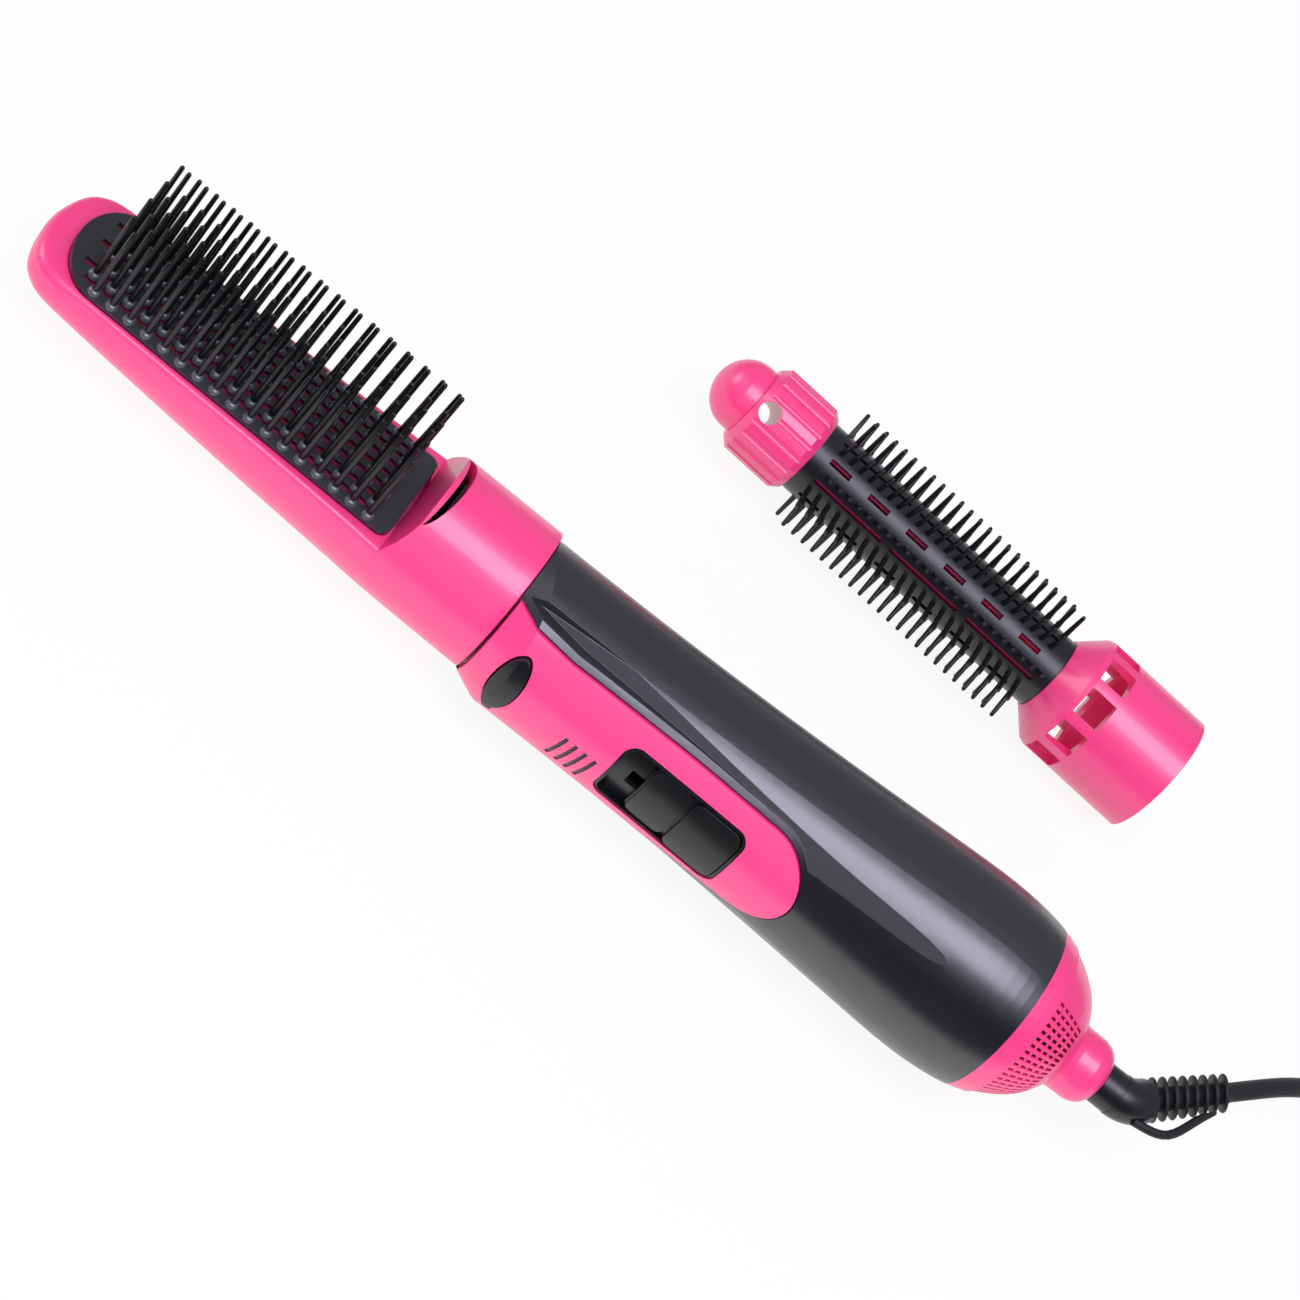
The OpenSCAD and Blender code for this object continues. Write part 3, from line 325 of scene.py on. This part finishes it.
def rim_drop(x, y):
    """How far the rim's top is rounded off at a place, from its distance to the outline."""
    at, r = Vector((x, abs(y))), rim_round(x)
    near = min((at - (p + (q - p) * clamp((at - p).dot(q - p) / (q - p).length_squared))).length
               for p, q in zip(OUTLINE, OUTLINE[1:]))
    near = min(near, x - TIP)
    return r - math.sqrt(max(0, r * r - max(0, r - near) ** 2))


def collar_top(w):
    """Top of the collar's section, an arc from one end of its underside to the other."""
    return [(w * math.cos(a), w * math.sin(a))
            for a in (math.radians(SPLIT + (180 - 2 * SPLIT) * k / 36) for k in range(37))]


def trough_top(x, w, d):
    """Top of the trough's section: level with the rim, then climbing to the crest before the collar."""
    climb = clamp((x - RAMP) / (COLLAR - RAMP))
    half = rim_half(x)
    # On the climb the edge's height and its half width depend on each other.
    for _ in range(12 if climb else 0):
        z = RIM_Z + (crest(half) - RIM_Z) * climb
        half = w * math.sqrt(max(0, 1 - (z / d) ** 2))
    ease = min(1, half / 9)
    steps = [half - s * ease for s in (0, 0.04, 0.16, 0.36, 0.65, 1.05, 1.6, 2.3, 3.2)]
    steps += [steps[-1] * (1 - k / 10) for k in range(1, 11)]
    steps += [-y for y in steps[-2::-1]]
    return [(y, RIM_Z + (crest(y) - RIM_Z) * climb - rim_drop(x, y) * (1 - climb)) for y in steps]


def shell_ring(x, is_collar):
    """One section of the moulding: under it from rim to rim, then back over its top."""
    w, d = along(TROUGH, x)
    top = collar_top(w) if is_collar else trough_top(x, w, d)
    edge = math.radians(SPLIT) if is_collar else math.asin(min(1, top[0][1] / d))
    under = [(x, w * math.cos(a), d * math.sin(a))
             for a in (math.pi - edge + (math.pi + 2 * edge) * k / 56 for k in range(57))]
    return under + [(x, y, z) for y, z in top[1:-1]]


def carved(piece, *solids):
    """Cuts closed solids, given in the comb's frame, out of a piece."""
    for points, faces in solids:
        tool = new_piece("cutter", points, faces, None, "pink_plastic", place=BRUSH)
        cut = piece.modifiers.new("cut", "BOOLEAN")
        cut.operation, cut.solver, cut.object = "DIFFERENCE", "EXACT", tool
        result = bpy.data.meshes.new_from_object(piece.evaluated_get(bpy.context.evaluated_depsgraph_get()))
        piece.modifiers.clear()
        piece.data = result
        bpy.data.objects.remove(tool)
    piece.data.shade_smooth()
    piece.data.set_sharp_from_angle(angle=math.radians(32))


def crescent(near, low):
    """Upright solid between two arcs behind the crest; low gives the height of its floor."""
    rings = []
    for k in range(41):
        y = SLIT_HALF * math.sin(math.radians(-90 + 4.5 * k)) * 0.9999
        reach = math.sqrt(1 - (y / SLIT_HALF) ** 2)
        x0, x1 = COLLAR + near(reach), COLLAR + SLIT_DEEP * reach + 0.01
        rings.append([(x0, y, low(y)), (x1, y, low(y)), (x1, y, 40), (x0, y, 40)])
    return loft(rings)


def plate_outline():
    """The bristle plate's outline, with room round it."""
    nose = [(NOSE_X + (NOSE_LEN + ROOM) * math.cos(a), (PLATE_HALF + ROOM) * math.sin(a))
            for a in (math.radians(90 + 5 * k) for k in range(37))]
    corner = [(CORNER_X + (CORNER_LEN + ROOM) * math.cos(a), CORNER_Y + (CORNER_WIDE + ROOM) * math.sin(a))
              for a in (math.radians(9 * k) for k in range(11))]
    heel = [(HEEL_X + ROOM - (y / CORNER_Y) ** 2, y) for y in range(-10, 11, 2)]
    return nose + [(x, -y) for x, y in corner[::-1]] + heel + corner


# Sections stand close together where the moulding turns fast, at the tip and on the climb to the crest.
places = [TIP, -150.4, -150.15, -149.8, -149.3, -148.6, -147.8, -146.8, -145.6, -144.3, -143, -141.5,
          -139.5, -137, -134, -131, -128]
places += list(range(-124, -36, 4)) + [RAMP, -34.4, -33.7, -33, -32.3, -31.6, COLLAR]
rings = [shell_ring(x, False) for x in places]
rings += [shell_ring(x, True) for x in (COLLAR + 0.001, -29, -26.9, -24, -20, -15, -10, -5, -0.7)]
# The edge of the collar's mouth is rounded in two steps, each a share of the section before.
for x, share in ((-0.32, 21.62 / 21.79), (-0.15, 21.25 / 21.79)):
    rings.append([(x, y * share, z * share) for _, y, z in rings[-1]])
comb = new_piece("comb_moulding", *loft(rings), None, "pink_plastic", place=BRUSH)
cavity = []
for x in [-146, -144, -140, -134] + list(range(-126, -34, 8)) + [-30.9]:
    w, d = along(TROUGH, x)
    cavity.append([(x, (w - WALL) * math.cos(a), RAISE + (d - WALL + RAISE) * math.sin(a))
                   for a in (math.radians(180 + 7.5 * k) for k in range(25))])
carved(comb, loft(cavity), lathe([(COLLAR, BORE), (1, BORE)], 96),
       crescent(lambda reach: -0.6, crest), crescent(lambda reach: 1.6 * reach, lambda y: 0.0),
       loft([[(x, y, z) for x, y in plate_outline()] for z in (1.4, 20)]))
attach(comb, "comb")
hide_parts("comb_shell", "comb_sleeve")


# ---- comb bristles in their bosses, the vented plate and the tray below it ----
STEMS, ROW_STEP, STEM_STEP, FIRST_X = 17, 4.143, 5.45, -42.6
# Height of each row's tips, from the near row to the far one.
HEIGHTS = [31.2] + [31.6] * 5 + [34.8, 31.2]
# Every second row stands half a step along, and gathers towards the collar by up to GATHER, over a stretch.
GATHER, GATHER_FROM, GATHER_LEN = 1.9, -110, 60
# Each vent's reach along the comb, from its bristle, and across it, from its row.
VENT_X, VENT_Y = (-4.3, -1.1), (1.1, 3.05)
# Radius and top of the plate's crown.
CROWN_R, CROWN_Z = 78.4, 7.8


def bristle(x, y, profile):
    """One upright stem of round sections, given as (z, r)."""
    ring = [(math.cos(a), math.sin(a)) for a in (math.radians(30 * k) for k in range(12))]
    return loft([[(x + r * c, y + r * s, z) for c, s in ring] for z, r in profile])


def stem_profile(foot, top):
    """A stem sunk a little in the plate, tapering to a rounded tip."""
    return ((foot - 1, 0.95), (foot + 6, 0.86), (top - 9, 0.74), (top - 0.5, 0.66), (top - 0.15, 0.5),
            (top, 0.2))


def boss_profile(foot):
    """A low domed boss round a stem's foot."""
    return ((foot - 0.7, 1.9), (foot + 0.25, 1.85), (foot + 0.6, 1.65), (foot + 0.9, 1.3),
            (foot + 1.05, 0.9))


def crown(y):
    """Height of the bristle plate's arched top."""
    return CROWN_Z - CROWN_R + math.sqrt(CROWN_R ** 2 - y * y)


def arched(drop, thick):
    """The plate's outline as an arched sheet under the crown."""
    nose = [NOSE_X - NOSE_LEN * math.sin(math.radians(k)) for k in (89.9, 87, 83, 77, 70, 60, 48, 34, 18)]
    rings = []
    for x in nose + [NOSE_X + 6.5 * k for k in range(15)] + [-38.1, -37, -36.3, -35.8]:
        half = PLATE_HALF * math.sqrt(max(0, 1 - (min(0, x - NOSE_X) / NOSE_LEN) ** 2))
        if x > CORNER_X:
            half = CORNER_Y + CORNER_WIDE * math.sqrt(max(0, 1 - ((x - CORNER_X) / CORNER_LEN) ** 2))
        across = [half * (1 - k / 12) for k in range(25)]
        rings.append([(x, y, crown(y) - drop) for y in across]
                     + [(x, y, crown(y) - drop - thick) for y in across[::-1]])
    return loft(rings)


stems, bosses, vents = [], [], []
for j, top in enumerate(HEIGHTS):
    y, odd = (j - (len(HEIGHTS) - 1) / 2) * ROW_STEP, j % 2
    for i in range(STEMS):
        x = FIRST_X - (i + odd / 2) * STEM_STEP
        x += odd * GATHER * clamp((x - GATHER_FROM) / GATHER_LEN)
        stems.append(bristle(x, y, stem_profile(crown(y), top)))
        bosses.append(bristle(x, y, boss_profile(crown(y))))
        if j < len(HEIGHTS) - 1:
            low, high = y + VENT_Y[0], y + VENT_Y[1]
            vents.append(loft([[(x + dx, low, 2), (x + dx, high, 2), (x + dx, high, 20), (x + dx, low, 20)]
                               for dx in VENT_X]))
new_piece("comb_stems", *merged(stems), "comb", "bristle_nylon", replaces=("comb_bristles",), place=BRUSH)
plate = new_piece("comb_grille", *arched(0, 1), None, "black_plastic", place=BRUSH)
carved(plate, merged(vents))
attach(plate, "comb")
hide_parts("comb_plate")
bed = new_piece("comb_floor", *arched(1.3, 1.4), "comb", "pink_plastic", replaces=("comb_bed",), place=BRUSH)
bumps = new_piece("comb_bosses", *merged(bosses), "comb", "black_plastic", place=BRUSH)
# The bosses take the lighter grey as a painted highlight.
# The tray takes the darker pink as painted shade for the shadow under the plate.
for piece, finish in ((plate, GRAPHITE), (bed, PAINTED_SHADE_PINK), (bumps, PAINTED_GLINT_GRAPHITE)):
    piece.data.materials[0] = finish

# ---- round brush: rows of stems, each second row half a step along ----
ROUND_MID, ROUND_YAW, ROUND_HALF = (97.9, 122.5, 19.89), math.radians(-2), 85.85
ROUND = TABLE @ move(*ROUND_MID) @ turn(ROUND_YAW, "Z") @ move(-ROUND_HALF, 0, 0)
ROUND_ROWS, ROUND_STEMS, ROUND_FIRST, ROUND_STEP = 10, 23, 40.3, 3.7
ROUND_PROFILE = ((11.1, 0.85), (15, 0.76), (20, 0.64), (20.4, 0.5), (20.6, 0.2))
stems = []
for j in range(ROUND_ROWS):
    row = turn(math.pi / ROUND_ROWS * (2 * j + 1), "X")
    for i in range(ROUND_STEMS):
        points, faces = bristle(ROUND_FIRST + ROUND_STEP * i + ROUND_STEP / 2 * (j % 2), 0, ROUND_PROFILE)
        stems.append(([row @ Vector(p) for p in points], faces))
new_piece("round_stems", *merged(stems), "round_brush", "bristle_nylon", replaces=("round_bristles",),
          place=ROUND)

# ---- cross bars in the intake slots, just under the dome's surface ----
# Place along the handle, radius of the dome there, and how fast it falls.
BARS = ((175.2, 22.3, 0.53), (177.4, 21.1, 0.56), (179.6, 19.8, 0.65), (181.8, 18.2, 0.85))
BAR_HALF, BAR_DEEP = 0.4, 0.9
bars = [lathe([(x - BAR_HALF, r + BAR_HALF * fall), (x + BAR_HALF, r - BAR_HALF * fall),
               (x + BAR_HALF, r - BAR_DEEP), (x - BAR_HALF, r - BAR_DEEP)], 96) for x, r, fall in BARS]
new_piece("intake_bars", *merged(bars), "handle", "pink_plastic", place=HANDLE)

# ---- strain relief: slanted ribs standing clear of a thin core ----
RIBS, RIB_FIRST, RIB_STEP, RIB_R, RIB_TAPER = 8, 9.8, 4.0, 6.1, 0.1125
# The way the ribs face, on the table.
slant = (RELIEF.to_3x3().inverted() @ Vector((0.784, 0.426, 0.451))).normalized()
lean = Vector((1, 0, 0)).rotation_difference(slant).to_matrix().to_4x4()
ribs = [lathe([(4.4, 3.6), (9, 3.4), (39, 2.95), (39.3, 2.8)], 32)]
for i in range(RIBS):
    r = RIB_R - RIB_TAPER * i
    points, faces = lathe([(-0.55, r - 0.6), (-0.5, r - 0.25), (-0.2, r), (0.2, r), (0.5, r - 0.25),
                           (0.55, r - 0.6)], 48)
    place = move(RIB_FIRST + RIB_STEP * i, 0, 0) @ lean
    ribs.append(([place @ Vector(p) for p in points], faces))
new_piece("relief_ribs", *merged(ribs), "swivel", "black_pvc", replaces=("strain_relief",), place=RELIEF)

# ---- black paint in the four slanted marks of the panel ----
MARKS, MARK_STEP, MARK_HALF, MARK_REACH = 4, 3.05, 0.53, 1.06
# Place of the first mark's middle, its slope, and the panel's radius there with its growth from mark to mark.
MARK_X, MARK_Z, SLOPE_X, SLOPE_Z, PANEL_R, PANEL_GROWTH = 30.7, -5.7, 0.139, 0.99, 22.84, 0.045
marks = []
for i in range(MARKS):
    rings = []
    for s in range(-5, 6):
        x = MARK_X + MARK_STEP * i + SLOPE_X * s * MARK_REACH
        z, r = MARK_Z + SLOPE_Z * s * MARK_REACH, PANEL_R + PANEL_GROWTH * i
        rings.append([(x + dx, -math.sqrt((r + dr) ** 2 - z * z), z)
                      for dx, dr in ((-MARK_HALF, -0.75), (MARK_HALF, -0.75), (MARK_HALF, 0.05),
                                     (-MARK_HALF, 0.05))])
    marks.append(loft(rings))
new_piece("mark_paint", *merged(marks), "handle", "black_plastic", place=HANDLE)

# ---- mains lead: 1.8 m of 5.5 mm sheath, most of it wound into a coil ----
CORD_D, CORD_LEN = 5.5, 1800.0
LIFT = CORD_D / 2
RELIEF_TIP, RELIEF_DIR = Vector((236.893, 28.982, 28.241)), Vector((0.6807, 0.732, -0.0289))
CREST, CREST_DIR = Vector((283, 69, 14)), Vector((0.88, 0.2, -0.43))
COIL = Vector((348, 30, 0))
# Turns in each layer, layers, and points in each turn.
COIL_TURNS, COIL_LAYERS, COIL_STEPS = 2.0, 4, 32
PLUG = Vector((406, 18, 13.25))


def lead_route(radius):
    """The lead's points from the strain relief through a coil of that mean radius to the plug."""
    outer, inner = radius + COIL_TURNS * LIFT, radius - COIL_TURNS * LIFT
    join = COIL + Vector((0, outer, LIFT))
    points = bez(RELIEF_TIP - 3 * RELIEF_DIR, RELIEF_TIP + 24 * RELIEF_DIR, CREST - 20 * CREST_DIR, CREST, 14)
    points += bez(CREST, CREST + 16 * CREST_DIR, join - Vector((44, 0, 0)), join - Vector((14, 0, 0)), 12)[1:]
    total = COIL_TURNS * COIL_LAYERS
    for i in range(int(total * COIL_STEPS) + 1):
        t = i / COIL_STEPS
        layer = min(int(t / COIL_TURNS), COIL_LAYERS - 1)
        share = t / COIL_TURNS - layer
        # Each layer winds the other way across, and its last quarter turn climbs to the next.
        r = outer + (inner - outer) * (share if layer % 2 == 0 else 1 - share)
        rise = clamp((share * COIL_TURNS - COIL_TURNS + 0.25) / 0.25) if layer < COIL_LAYERS - 1 else 0
        z = LIFT + CORD_D * (layer + rise * rise * (3 - 2 * rise))
        a = math.pi / 2 - 2 * math.pi * t
        points.append(COIL + Vector((r * math.cos(a), r * math.sin(a), z)))
    a = math.pi / 2 - 2 * math.pi * total
    end, heading = points[-1], Vector((math.sin(a), -math.cos(a), 0))
    points += bez(end, end + 34 * heading, PLUG + Vector((0, 33, 0)), PLUG + Vector((0, 12, 0)), 14)[1:]
    return points


def route_length(points):
    """Length of the line through the points."""
    return sum((b - a).length for a, b in zip(points, points[1:]))


# The coil's mean radius is halved down to the one that uses up the lead's length, with a few millimetres
# to spare for its ends inside the strain relief and the plug.
SPARE = 7
low, high = 28.0, 36.0
for _ in range(30):
    radius = (low + high) / 2
    short = route_length(lead_route(radius)) < CORD_LEN + SPARE
    low, high = (radius, high) if short else (low, radius)
route = lead_route(radius)
lead = new_piece("mains_lead", *sweep(route, CORD_D / 2, 16), None, "black_pvc",
                 replaces=("cord_tube", "cord_coil"))
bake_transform(lead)

# ---- light, floor and backdrop ----
def soft_light(name, place, size, watts, colour="#FFFFFF", shows=True):
    """A rectangular soft box aimed at the object; one that doesn't show only fills."""
    lamp = bpy.data.objects.new(name, bpy.data.lights.new(name, "AREA"))
    bpy.context.collection.objects.link(lamp)
    lamp.data.shape, lamp.data.size, lamp.data.size_y = "RECTANGLE", size[0], size[1]
    lamp.data.energy, lamp.data.color = watts, linear(colour)[:3]
    lamp.location = place
    lamp.rotation_euler = (Vector((place[0] * 0.6, 0, 0)) - Vector(place)).to_track_quat("-Z", "Y").to_euler()
    lamp.visible_glossy = shows


def card(name, corners, material):
    """A flat card of the studio."""
    mesh = bpy.data.meshes.new(name)
    mesh.from_pydata(corners, [], [(0, 1, 2, 3)])
    mesh.materials.append(material)
    made = bpy.data.objects.new(name, mesh)
    bpy.context.collection.objects.link(made)
    return made


soft_light("key", (0.2, -0.45, 1.13), (1.1, 0.62), 11.5, "#EDEAFF")
soft_light("front_fill", (-0.3, -1.3, 0.5), (1.4, 0.7), 9, shows=False)
soft_light("back_fill", (0.2, 1.3, 0.7), (1.5, 0.6), 5, "#F1F0FF", shows=False)
soft_light("left", (-1.4, 0.1, 0.7), (0.7, 0.7), 5)

# White paper: flat white to the eye and in reflections, its own shaded self to all other light.
floor_paper = bpy.data.materials.new("matt_white_paper")
floor_paper.use_nodes = True
tree = floor_paper.node_tree
shader = tree.nodes["Principled BSDF"]
shader.inputs["Base Color"].default_value = linear("#F4F4F4")
shader.inputs["Roughness"].default_value = 0.9
glow = node(tree, "ShaderNodeEmission", {"Color": (1, 1, 1, 1), "Strength": 1.0})
path = node(tree, "ShaderNodeLightPath")
mirrored = node(tree, "ShaderNodeMath", {"operation": "MAXIMUM"}, _0=path.outputs["Is Glossy Ray"],
                _1=path.outputs["Is Transmission Ray"])
seen = node(tree, "ShaderNodeMath", {"operation": "MAXIMUM"}, _0=path.outputs["Is Camera Ray"],
            _1=mirrored.outputs[0])
share = node(tree, "ShaderNodeMath", {"operation": "MULTIPLY", 1: 0.9}, _0=seen.outputs[0])
mixed = node(tree, "ShaderNodeMixShader", _0=share.outputs[0], _1=shader.outputs["BSDF"], _2=glow.outputs[0])
tree.links.new(mixed.outputs[0], tree.nodes["Material Output"].inputs["Surface"])
FLOOR_Z, FLOOR_HALF = -0.0004, 6
card("floor", [(x * FLOOR_HALF, y * FLOOR_HALF, FLOOR_Z) for x, y in ((-1, -1), (1, -1), (1, 1), (-1, 1))],
     floor_paper)

# Black cards in front of the object and behind the camera keep its near flanks dark below the soft box.
felt = bpy.data.materials.new("black_felt")
felt.use_nodes = True
felt.node_tree.nodes["Principled BSDF"].inputs["Base Color"].default_value = linear("#0A0A0A")
felt.node_tree.nodes["Principled BSDF"].inputs["Roughness"].default_value = 1
for name, y0, z0, y1, z1 in (("flag", -1.7, 0.02, -1.45, 1.2), ("velvet", -0.15, 0.002, -1.7, 0.002)):
    dark = card(name, [(-2.4, y0, z0), (2.4, y0, z0), (2.4, y1, z1), (-2.4, y1, z1)], felt)
    dark.visible_camera = dark.visible_diffuse = dark.visible_shadow = dark.visible_transmission = False

world = bpy.data.worlds.new("studio")
world.use_nodes = True
bpy.context.scene.world = world
world.node_tree.nodes["Background"].inputs["Color"].default_value = linear("#F4F4FF")
world.node_tree.nodes["Background"].inputs["Strength"].default_value = 0.32
bpy.context.scene.view_settings.view_transform = "Standard"
